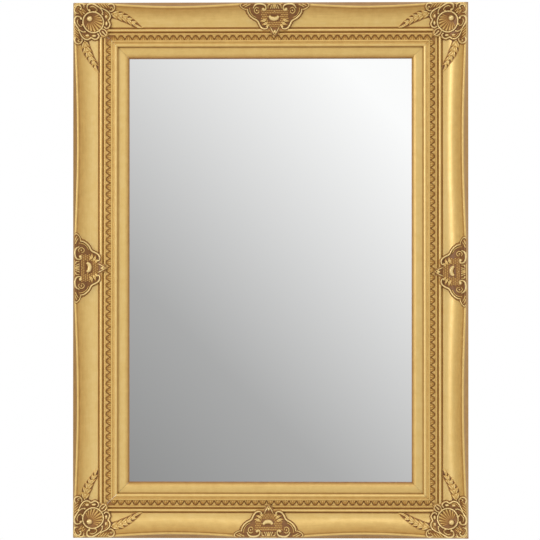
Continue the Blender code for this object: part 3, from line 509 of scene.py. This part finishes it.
class Paste:
    """A casting as it is modelled: rolls, lumps and leaves of paste laid on a ground, before they are fused.

    Places are given as the eye in front of the frame's middle sees them against the wall, in millimetres
    from the outer edges, and reach is how far the piece lies from that middle."""

    def __init__(self, ground, reach):
        self.ground = ground
        self.reach = reach
        self.pieces = []

    def on_piece(self, points):
        laid = []
        for a, b in points:
            out = (float(self.ground(np.float64(a), np.float64(b))) + 2.5) * MM / STAND_OFF
            laid.append((a + (self.reach[0] - a) * out, b + (self.reach[1] - b) * out))
        return laid

    def height(self, a, b):
        return float(self.ground(np.float64(a), np.float64(b)))

    def roll(self, points, wide, lift=1.6):
        """A round roll along a curve, thinner at its ends, or as wide as told at even steps along it."""
        line = along_curve(self.on_piece(points), 1.4)
        widths = (0.7 * wide, wide, wide, wide, 0.7 * wide) if np.isscalar(wide) else wide
        bpy.ops.curve.primitive_nurbs_path_add()
        roll = bpy.context.object
        curve = roll.data
        curve.splines.clear()
        run = curve.splines.new("POLY")
        run.points.add(len(line) - 1)
        marks = np.linspace(0, len(line) - 1, len(widths))
        for i, (spot, q) in enumerate(zip(run.points, line)):
            spot.co = (q.x * MM, q.y * MM, (self.height(q.x, q.y) + lift) * MM, 1)
            spot.radius = float(np.interp(i, marks, widths))
        curve.dimensions = "3D"
        curve.bevel_depth = 0.5 * MM
        curve.bevel_resolution = 3
        curve.use_fill_caps = True
        self.pieces.append(roll)

    def lump(self, centre, radii, lift=1.0):
        """A rounded lump with half sizes across, down and out."""
        (a, b), = self.on_piece([centre])
        bpy.ops.mesh.primitive_uv_sphere_add(segments=16, ring_count=10, radius=1)
        lump = bpy.context.object
        put_points(lump, points_of(lump) * MM * radii + (a, b, self.height(a, b) + lift))
        self.pieces.append(lump)

    def leaf(self, root, tip, wide, lift=0.8, crown=2.2, curl=0.1):
        """A pointed leaf with a sunk midrib, arched over its length."""
        bpy.ops.mesh.primitive_uv_sphere_add(segments=24, ring_count=16, radius=1)
        leaf = bpy.context.object
        root, tip = (Vector(q) for q in self.on_piece([root, tip]))
        run = tip - root
        side = Vector((-run.y, run.x)).normalized()
        x, y, z = (points_of(leaf) * MM).T
        t = (1 - y) / 2
        swell = np.sin(np.pi * np.clip(t, 0, 1) ** 0.8) ** 0.8
        ring = np.sqrt(np.maximum(1 - y * y, 1e-6))
        across = x / ring * swell * wide / 2
        groove = 0.6 * np.exp(-(across / (0.16 * wide)) ** 2) * (z > 0)
        a = root.x + run.x * t + side.x * (across + curl * run.length * np.sin(np.pi * t))
        b = root.y + run.y * t + side.y * (across + curl * run.length * np.sin(np.pi * t))
        out = (z / ring - groove) * crown * np.clip(swell, 0.15, 1) + 0.8 * np.sin(np.pi * t)
        put_points(leaf, np.stack([a, b, self.ground(a, b) + lift + out], axis=1))
        self.pieces.append(leaf)

    def field(self, outline, surface, depth):
        """A sheet of paste: a close grid, trimmed to the outline, bent to a surface and given its thickness."""
        low, high = np.min(outline, axis=0), np.max(outline, axis=0)
        cells = np.ceil((high - low) / 1.1).astype(int)
        bpy.ops.mesh.primitive_grid_add(x_subdivisions=int(cells[0]), y_subdivisions=int(cells[1]), size=1)
        field = set_apart(bpy.context.object, "field")
        shape = points_of(field) * MM
        shape[:, :2] = low + (shape[:, :2] + 0.5) * (high - low)
        shape[:, 2] = surface(shape[:, 0], shape[:, 1])
        put_points(field, shape)
        middles = np.array([f.center for f in field.data.polygons])[:, :2] / MM
        outside = ~within(outline, middles[:, 0], middles[:, 1])
        bpy.ops.object.mode_set(mode="EDIT")
        bpy.ops.mesh.select_mode(type="FACE")
        bpy.ops.mesh.select_all(action="DESELECT")
        bpy.ops.object.mode_set(mode="OBJECT")
        field.data.polygons.foreach_set("select", outside)
        bpy.ops.object.mode_set(mode="EDIT")
        bpy.ops.mesh.delete(type="FACE")
        bpy.ops.mesh.select_all(action="SELECT")
        bpy.ops.mesh.extrude_region_move(TRANSFORM_OT_translate={"value": (0, 0, -depth * MM)})
        bpy.ops.object.mode_set(mode="OBJECT")
        faces_outwards(field)
        self.pieces.append(field)

    def fused(self, name, bed):
        """All the paste pressed into one skin, its underside bedded on the moulding, and its tone marked: low and
        hollow places darker, which on the thin sheets round its edges is painted shadow as well as toner.
        """
        bpy.ops.object.select_all(action="DESELECT")
        for piece in self.pieces:
            piece.select_set(True)
        bpy.context.view_layer.objects.active = self.pieces[-1]
        bpy.ops.object.convert(target="MESH")
        bpy.ops.object.join()
        skin = set_apart(bpy.context.object, name)
        finished(skin, "REMESH", mode="VOXEL", voxel_size=VOXEL * MM)
        shape = points_of(skin)
        shape[:, 2] = np.maximum(shape[:, 2], bed(shape[:, 0], shape[:, 1]))
        put_points(skin, shape)
        finished(skin, "SMOOTH", factor=0.5, iterations=2)
        finished(skin, "DECIMATE", ratio=0.4)
        a, b, h = points_of(skin).T
        proud = np.clip(h - self.ground(a, b), -1, 5)
        toner = 0.72 - 0.14 * proud + 0.55 * hollowness(skin, 8) + 0.15 * hollowness(skin, 60)
        mark(skin, "toner_and_shade", np.clip(toner, 0.0, 0.95))
        return skin


def within(outline, x, y):
    """Which of the points lie inside a closed outline."""
    found = np.zeros(x.shape, bool)
    for (ax, ay), (bx, by) in zip(outline, outline[1:] + outline[:1]):
        if ay != by:
            found ^= ((ay > y) != (by > y)) & (x < (bx - ax) * (y - ay) / (by - ay) + ax)
    return found


def grown(outline, by):
    """A closed outline moved outwards all round."""
    points = [Vector(q) for q in outline]
    area = sum(p.cross(q) for p, q in zip(points, points[1:] + points[:1]))
    side = math.copysign(by, area)
    moved = []
    for before, here, after in zip(points[-1:] + points[:-1], points, points[1:] + points[:1]):
        run = (after - before).normalized()
        moved.append((here.x + run.y * side, here.y - run.x * side))
    return moved


def hollowness(piece, rounds):
    """How deep each point lies below its surroundings, in mm, a number of edges round about."""
    mesh = piece.data
    ends = np.empty(len(mesh.edges) * 2, np.int32)
    mesh.edges.foreach_get("vertices", ends)
    a, b = ends.reshape(-1, 2).T
    count = len(mesh.vertices)
    beside = np.bincount(a, minlength=count) + np.bincount(b, minlength=count)
    shape = points_of(piece)
    eased = shape.copy()
    for _ in range(rounds):
        total = np.stack([np.bincount(a, eased[b, k], count) + np.bincount(b, eased[a, k], count)
                          for k in range(3)], axis=1)
        eased = 0.5 * eased + 0.5 * total / beside[:, None]
    out = np.empty(count * 3, np.float32)
    mesh.vertex_normals.foreach_get("vector", out)
    return ((eased - shape) * out.reshape(-1, 3)).sum(axis=1)


def corner_casting():
    paste = Paste(corner_ground, (465, 465))

    def swapped(points):
        return [(b, a) for a, b in points]

    def roll(points, wide, lift=1.6):
        paste.roll(points, wide, lift)
        paste.roll(swapped(points), wide, lift)

    def lump(centre, radii, lift=1.0):
        paste.lump(centre, radii, lift)
        if centre[0] != centre[1]:
            paste.lump((centre[1], centre[0]), (radii[1], radii[0], radii[2]), lift)

    half = [(1.2, 1.2), (8, 0.4), (17, 0.6), (22, 3.2), (25.5, 4.2), (28, 1.4), (34, 0.6), (42, 0.8), (66, 0.8)]
    half += [(74, 0.6), (80.5, 1.6), (84, 6), (83.8, 12), (80.5, 16.5), (76, 18.8), (75.2, 22), (76, 27.5)]
    half += [(74.4, 32.5), (72.4, 35.2), (73.4, 38), (75.4, 42.5), (74.4, 48), (70.5, 52.8), (65, 53.4)]
    half += [(67.4, 57), (68.4, 62), (67, 67)]
    outline = paste.on_piece(half + swapped(half[-2:0:-1]))
    paste.field(outline, lambda a, b: corner_ground(a, b) + 0.4, 14)
    # A thin sheet 1.5 mm round the casting, low on the moulding, comes out dark: toner settled at the joint, and a
    # painted shadow along the casting's edge.
    toner_and_shadow_skirt = [(max(a, 6.0), max(b, 6.0)) for a, b in grown(outline, 1.5)]
    paste.field(toner_and_shadow_skirt, lambda a, b: corner_bed(a, b) + 0.5, 2)
    # the ring of the shell, its pearl and its flutes
    centre, eye = Vector((40.2, 39.6)), Vector((32.1, 31.6))
    ring = []
    for k in range(31):
        way = Vector((math.cos(math.radians(45 + 12 * k)), math.sin(math.radians(45 + 12 * k))))
        swell = 1 + 0.10 * max(0.0, -(way.x + way.y) / 1.414) ** 2
        ring.append(centre + way * 20.2 * swell)
    paste.roll(ring, (3.0, 3.0), 3.0)
    paste.lump(eye, (5.8, 5.8, 4.6), 2.2)
    for k in range(10):
        way = Vector((math.cos(math.radians(-22 + 14.9 * k)), math.sin(math.radians(-22 + 14.9 * k))))
        off = eye - centre
        reach = -off.dot(way) + math.sqrt(off.dot(way) ** 2 - off.length_squared + 17.8 ** 2)
        paste.roll([eye + way * 6.0, eye + way * reach], (1.5, 0.20 * reach), -0.2)
    # the curls of the outer corner
    roll([(4.2, 4.6), (8.5, 1.9), (15, 1.9), (19.6, 3.6), (21.4, 7.4), (20.6, 10)], 2.5, 2.4)
    paste.roll([(4.5, 11), (6.0, 6.8), (9.8, 4.9), (13.8, 6.3), (15.6, 9.8), (14.4, 12.4)], 2.8, 3.0)
    paste.lump((14.0, 12.2), (2.0, 2.0, 2.0), 3.0)
    roll([(4.4, 11), (2.6, 15), (2.4, 20), (4.4, 24.4)], 2.2, 1.8)
    roll([(9.5, 15), (16, 18.2), (21.5, 22.4)], 2.0, 0.8)
    roll([(16.5, 11.5), (20.5, 14.5), (24, 18)], 2.0, 0.8)
    paste.lump((20.6, 20.6), (1.7, 1.7, 1.7), 1.6)
    # a C scroll on either side of the corner
    roll([(31.6, 15.2), (28.4, 12.8), (27.2, 8.6), (28.8, 4.9), (32.8, 2.9), (38, 2.5), (43.2, 4.4), (48.2, 7.2),
          (53.4, 10.8), (57.0, 15.4), (58.8, 20.5)], (2.4, 3.3, 3.3, 2.8, 2.4), 2.8)
    lump((31.6, 14.8), (2.7, 2.7, 2.7), 2.8)
    lump((58.0, 22.6), (2.1, 2.1, 2.1), 2.0)
    roll([(33, 8.9), (37.5, 7.3), (42.6, 8.6), (46.2, 11.8), (47, 15.2), (44.8, 17.4)], 2.3, 1.8)
    lump((44.0, 17.2), (1.9, 1.9, 1.9), 1.8)
    for k in range(4):
        roll([(49.5 + 5.4 * k, 3.2), (53 + 5.3 * k, 5.6), (56.4 + 5.2 * k, 9.8)], 2.1, 0.9)
    # the lobed rim with its bosses
    roll([(54, 9.6), (61.4, 13), (67.9, 16.8), (72.4, 21.8), (73.6, 27.7), (72.2, 32), (70.0, 35), (71.2, 38.6),
          (73.2, 42.6), (72.2, 47.3), (69, 50.7), (65.2, 51.4), (62.7, 49.4)], 3.0, 2.6)
    lump((65.4, 27.2), (2.6, 4.4, 3.0), 0.9)
    lump((66.2, 41.2), (2.7, 4.8, 3.0), 0.9)
    lump((62.8, 49.2), (1.8, 1.8, 1.8), 2.4)
    roll([(62.6, 17.6), (67.6, 21.6), (69.4, 27.4), (67.6, 33)], 1.6, 1.0)
    # the end scroll along the outer edge
    roll([(69, 5), (75.2, 2.8), (79.8, 3.9), (82.1, 8), (81.3, 12.6), (78.4, 15.8), (74.8, 17), (71.8, 16.2)], 2.8, 2.6)
    roll([(73.4, 11.8), (75.6, 8.9), (78.4, 10.4), (77.2, 13.6)], 2.1, 1.8)
    # the husk at the inner corner
    roll([(56.8, 52.8), (60.6, 53.4), (64.4, 56), (66.8, 60.4), (66.6, 65.4)], 2.2, 2.3)
    paste.roll([(57.5, 57.5), (62, 62), (66, 66)], (3.4, 2.6, 1.6), 2.6)
    # a spray of leaves down each hollow
    spray = [(73, 17), (84, 15.4), (97, 16.6), (107, 21.6), (120, 31), (129, 38.5), (140, 50), (136, 52)]
    spray += [(126, 51.5), (118, 48), (106, 41.5), (97, 38.4), (88, 34.4), (77, 31)]
    roots = [(77, 22.5), (87, 25), (96, 28.2), (105.5, 32.5), (114.5, 37.8)]
    tips = [(92, 16.6), (102, 19.8), (111, 25), (119.5, 31), (127.5, 38)]
    unders = [(88.5, 32.8), (98, 36.8), (107.5, 40.4), (117, 45.6), (126, 49.4)]
    for turn in (lambda points: points, swapped):
        # Under each spray a thin sheet low on the moulding comes out dark between and round the leaves: toner, and
        # painted shadow.
        paste.field(paste.on_piece(turn(spray)), lambda a, b: corner_bed(a, b) + 0.5, 1.5)
        sign = 1 if turn is not swapped else -1
        for root, tip, under, wide in zip(roots, tips, unders, (8.0, 7.6, 7.0, 6.4, 5.6)):
            paste.leaf(*turn([root, tip]), wide, curl=0.10 * sign)
            paste.leaf(*turn([root, under]), wide, curl=-0.10 * sign)
            paste.lump(*turn([root]), (1.6, 1.6, 1.6), 2.2)
        paste.leaf(*turn([(122, 42.5), (139, 50.4)]), 4.6)
    return paste.fused("corner_pattern", corner_bed)


gold_casting = antique_gold("gold_casting", speckle=0.16)


def lay_casting(pattern, name, place, node):
    """A copy of a casting put in its place on the frame."""
    copy = pattern.copy()
    copy.data = pattern.data.copy()
    bpy.context.scene.collection.objects.link(copy)
    set_apart(copy, name)
    put_points(copy, place(*points_of(copy).T))
    faces_outwards(copy)
    copy.data.materials.clear()
    copy.data.materials.append(gold_casting)
    bpy.ops.object.shade_smooth()
    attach(copy, "root")
    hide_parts(node)


pattern = corner_casting()
for row in ("top", "bottom"):
    for column in ("left", "right"):
        def place(s, u, h, row=row, column=column):
            x = s - SIDE if column == "left" else SIDE - s
            z = TOP - u if row == "top" else BOTTOM + u
            return np.stack([x, -h, z], axis=1)
        lay_casting(pattern, f"corner_casting_{row}_{column}", place, f"corner_ornament_{row}_{column}")
bpy.data.objects.remove(pattern, do_unlink=True)


# The centre crests. One casting for each side, from a second mould: a pair of scrolls, a lobed rim round a
# netted field with a smooth bean in it, a small fan at the ridge and a drop over the bead. They were set by
# eye, so each sits a few millimetres off the middle of its side.
CREST_OFFSET = {"top": 9.0, "bottom": -3.0, "left": 4.0, "right": -3.5}


def crest_ground(s, t):
    return np.maximum(envelope(t), bed_height(t, 0.0) + 0.6)


def crest_casting():
    paste = Paste(crest_ground, (0, 465))

    def roll(points, wide, lift=1.6):
        paste.roll(points, wide, lift)
        paste.roll([(-s, t) for s, t in points], wide, lift)

    def lump(centre, radii, lift=1.0):
        paste.lump(centre, radii, lift)
        if centre[0]:
            paste.lump((-centre[0], centre[1]), radii, lift)

    half = [(0, 1.4), (14, 1.2), (20, 2.6), (30, 1.0), (40, 1.6), (55, 1.8), (66, 1.4), (70.6, 4.6), (69, 9)]
    half += [(61, 13.4), (57.5, 15.5), (56, 20.5), (51, 28), (44, 33.6), (37.5, 36.6), (34.5, 41), (32, 46.6)]
    half += [(28, 52.4), (21.5, 55.8), (13.6, 55), (9, 54), (6, 60.5), (0, 66.6)]
    outline = paste.on_piece(half + [(-s, t) for s, t in half[-2:0:-1]])
    paste.field(outline, lambda s, t: crest_ground(s, t) + 0.4, 14)
    # A thin sheet 1.5 mm round the casting, low on the moulding, comes out dark: toner settled at the joint, and a
    # painted shadow along the casting's edge.
    toner_and_shadow_skirt = [(s, max(t, 6.0)) for s, t in grown(outline, 1.5)]
    paste.field(toner_and_shadow_skirt, lambda s, t: bed_height(t, 0.0) + 0.5, 2)
    # the lobed rim
    roll([(54.2, 13.4), (53, 20.1), (48.6, 26.8), (42.8, 31.8), (37, 34.8), (33.6, 38), (31.2, 43.2), (28, 48.6),
          (23.6, 52.4), (18.6, 53), (14.8, 51.2), (14.0, 48.2)], 3.2, 2.6)
    lump((15.0, 48.4), (2.0, 2.0, 2.0), 2.6)
    roll([(50, 11), (48.8, 19), (44, 26), (36.4, 30.6)], 1.9, 1.3)
    # the large scrolls with their bulbs, and a small spiral in each
    roll([(42.8, 11.4), (40.4, 6.9), (35.8, 4.1), (29.8, 3.4), (23.6, 4.2), (18.8, 6.6), (17.2, 11), (18.8, 15.2),
          (22.4, 16.6)], (2.4, 3.2, 3.2, 3.0, 2.6), 2.9)
    lump((22.8, 13.4), (3.3, 3.3, 3.2), 2.6)
    roll([(31.4, 11.8), (35.6, 9.7), (40, 12.6), (40.4, 18), (36, 21.6), (31.6, 19.4), (32, 15.8)], 2.2, 1.6)
    lump((35.8, 15.6), (1.7, 1.7, 1.7), 1.4)
    # the leaf lobes at the ends
    roll([(54.4, 14), (60.4, 13), (66, 9.6), (68.8, 5.4), (65.6, 3.2)], 2.4, 1.8)
    roll([(48, 4.2), (54, 6.2), (60, 9.6)], 2.2, 1.3)
    roll([(54.6, 3.6), (60, 5.2), (64.4, 7.4)], 2.2, 1.3)
    # the fan at the ridge
    for root, tip in ((0.0, 0.0), (1.6, 3.9), (4.6, 8.2)):
        roll([(root, 4.2), (tip, 11.8)], (1.6, 2.5), 2.0)
    roll([(8.4, 5.0), (12.4, 5.6), (13.6, 11.6)], 2.2, 1.8)
    lump((0.0, 17.4), (1.5, 1.3, 1.4), 1.2)
    # the bean
    paste.roll([(-11.2, 26.6), (-7, 30.8), (-1.6, 32.4), (3.8, 31.0), (7.8, 26.8)], (5.0, 8.6, 9.4, 8.6, 5.0), 1.4)
    # the net of the field, and the leaves between it and the rim
    for row in range(9):
        for column in range(-8, 9):
            s, t = 3.3 * (column + 0.5 * (row % 2)), 16.5 + 3.9 * row
            in_field = abs(s) < (27 if t < 32 else 27 - 0.9 * (t - 32))
            by_bean = abs(s + 1.7) < 12.5 and 22 < t < 38.5
            if in_field and not by_bean:
                paste.lump((s, t), (1.25, 1.25, 1.2), 0.5)
    rim_leaves = [((15.5, 33), (29.5, 37.6), 5.4), ((13, 38.4), (25.5, 44.8), 5.4), ((10, 42.5), (19.6, 49), 4.8)]
    for root, tip, wide in rim_leaves:
        for side in (1, -1):
            paste.leaf((side * root[0], root[1]), (side * tip[0], tip[1]), wide, curl=0.08 * side)
    # the drop that crosses the bead
    roll([(8.8, 49), (6.6, 54), (4.4, 58), (0.4, 64.6)], 2.1, 2.2)
    lump((0, 57.8), (2.5, 3.4, 2.4), 1.6)
    return paste.fused("crest_pattern", lambda s, u: bed_height(u, 0.0))


pattern = crest_casting()
for rail, offset in CREST_OFFSET.items():
    across = rail in ("top", "bottom")
    middle = length_of(rail) / 2 + (offset if across else -offset)

    def place(s, u, h, rail=rail, middle=middle):
        h = np.maximum(h, bed_height(u, sweep_at(middle + s, length_of(rail))))
        x = middle + s - SIDE if rail in ("top", "bottom") else u - SIDE if rail == "left" else SIDE - u
        z = TOP - middle - s if rail in ("left", "right") else TOP - u if rail == "top" else BOTTOM + u
        return np.stack([x, -h, z], axis=1)
    lay_casting(pattern, "crest_casting_" + rail, place, "crest_" + rail)
bpy.data.objects.remove(pattern, do_unlink=True)


# The mirror plate. Four-millimetre float glass, silvered on the back and cut square, with no bevel. It
# stays as the solid model has it, with a silver that is very slightly grey.
silver = bpy.data.materials.new("silvering")
silver.use_nodes = True
shader = silver.node_tree.nodes["Principled BSDF"]
coords = silver.node_tree.nodes.new("ShaderNodeTexCoord")
haze = silver.node_tree.nodes.new("ShaderNodeTexNoise")
haze.inputs["Scale"].default_value = 9.0
silver.node_tree.links.new(coords.outputs["Object"], haze.inputs["Vector"])
silver.node_tree.links.new(spread(silver.node_tree, haze.outputs["Fac"], 0.004, 0.012), shader.inputs["Roughness"])
shader.inputs["Base Color"].default_value = (0.965, 0.972, 0.97, 1.0)
shader.inputs["Metallic"].default_value = 1.0
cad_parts["mirror_plate"].data.materials.clear()
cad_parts["mirror_plate"].data.materials.append(silver)


# The backing board. Thin brown hardboard, laid into the rebate behind the glass, flush with the back.
board = bpy.data.materials.new("hardboard")
board.use_nodes = True
tree = board.node_tree
shader = tree.nodes["Principled BSDF"]
_, streaks, clouds = grain_and_tone(tree, (1, 1, 1))
fibre = weighed(tree, [(streaks.outputs["Fac"], 0.9, 0.05), (clouds.outputs["Fac"], 0.4, 0.5)])
tree.links.new(colours_over(tree, fibre, ((0.2, (0.13, 0.075, 0.04)), (0.8, (0.24, 0.15, 0.085)))),
               shader.inputs["Base Color"])
shader.inputs["Roughness"].default_value = 0.6
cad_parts["backing_board"].data.materials.clear()
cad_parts["backing_board"].data.materials.append(board)


# The hangers. Two zinc-plated steel keyhole plates, let into the back of the top length, each held by a
# screw above and a screw below its keyhole.
zinc = bpy.data.materials.new("zinc_plate")
zinc.use_nodes = True
tree = zinc.node_tree
shader = tree.nodes["Principled BSDF"]
_, streaks, clouds = grain_and_tone(tree, (1, 1, 0.1))
tree.links.new(colours_over(tree, clouds.outputs["Fac"], ((0.3, (0.50, 0.50, 0.47)), (0.7, (0.66, 0.65, 0.60)))),
               shader.inputs["Base Color"])
tree.links.new(spread(tree, streaks.outputs["Fac"], 0.25, 0.45), shader.inputs["Roughness"])
shader.inputs["Metallic"].default_value = 1.0
for name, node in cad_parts.items():
    if name.startswith("hanger"):
        node.data.materials.clear()
        node.data.materials.append(zinc)


# The floor and the light. A plain pale floor well below the mirror, a broad soft light to the left of the
# camera, and a pale surround that is brightest above and to the right.
bpy.ops.mesh.primitive_plane_add(size=7, location=(0, -0.5, -1.9))
floor = set_apart(bpy.context.object, "floor")
bpy.ops.object.transform_apply(location=True, rotation=True, scale=True)
paint = bpy.data.materials.new("pale_floor")
paint.use_nodes = True
paint.node_tree.nodes["Principled BSDF"].inputs["Base Color"].default_value = (0.82, 0.82, 0.81, 1.0)
paint.node_tree.nodes["Principled BSDF"].inputs["Roughness"].default_value = 0.7
floor.data.materials.append(paint)


def soft_light(name, place, size, watts):
    bpy.ops.object.light_add(type="AREA", location=place)
    light = bpy.context.object
    light.name = name
    light.data.shape = "RECTANGLE"
    light.data.size, light.data.size_y = size
    light.data.energy = watts
    towards = AIM - Vector(place)
    light.rotation_euler = towards.to_track_quat("-Z", "Y").to_euler()


soft_light("left_strip", (-3.05, -2.95, 0.25), (0.8, 1.7), 55)
soft_light("front_light", (0.9, -3.4, 2.4), (2.4, 1.6), 30)

world = bpy.data.worlds.new("surround")
bpy.context.scene.world = world
world.use_nodes = True
tree = world.node_tree
coords = tree.nodes.new("ShaderNodeTexCoord")
way = tree.nodes.new("ShaderNodeSeparateXYZ")
tree.links.new(coords.outputs["Generated"], way.inputs["Vector"])
# straight out in front of the glass: a wall that pales from the lower left to the upper right
rise = weighed(tree, [(way.outputs["X"], 1 / 0.3, -0.1714), (way.outputs["Z"], 1 / 0.3, 0.0088)])
PALING = ((-0.14, 0.29), (-0.06, 0.42), (0.03, 0.73), (0.11, 1.0))
ahead = colours_over(tree, rise, [(0.5 + slope / 0.3, (grey,) * 3) for slope, grey in PALING])
# all round: darker to the left and below, paler to the right and above
around = weighed(tree, [(way.outputs["X"], 0.22, -2.0), (way.outputs["Z"], 0.22, -0.4)])
room = colours_over(tree, around, ((0.2, (0.16, 0.15, 0.14)), (0.5, (0.62, 0.62, 0.62)), (0.85, (1.0, 1.0, 1.0))))
near_axis = tree.nodes.new("ShaderNodeMapRange")
near_axis.inputs["From Min"].default_value = -0.93
near_axis.inputs["From Max"].default_value = -0.985
tree.links.new(way.outputs["Y"], near_axis.inputs["Value"])
blend = tree.nodes.new("ShaderNodeMix")
blend.data_type = "RGBA"
tree.links.new(near_axis.outputs["Result"], blend.inputs["Factor"])
tree.links.new(room, blend.inputs["A"])
tree.links.new(ahead, blend.inputs["B"])
# the white ground of a catalogue picture, for the eye alone
eye = tree.nodes.new("ShaderNodeLightPath")
white = tree.nodes.new("ShaderNodeMix")
white.data_type = "RGBA"
tree.links.new(eye.outputs["Is Camera Ray"], white.inputs["Factor"])
tree.links.new(blend.outputs["Result"], white.inputs["A"])
white.inputs["B"].default_value = (1, 1, 1, 1)
tree.links.new(white.outputs["Result"], tree.nodes["Background"].inputs["Color"])
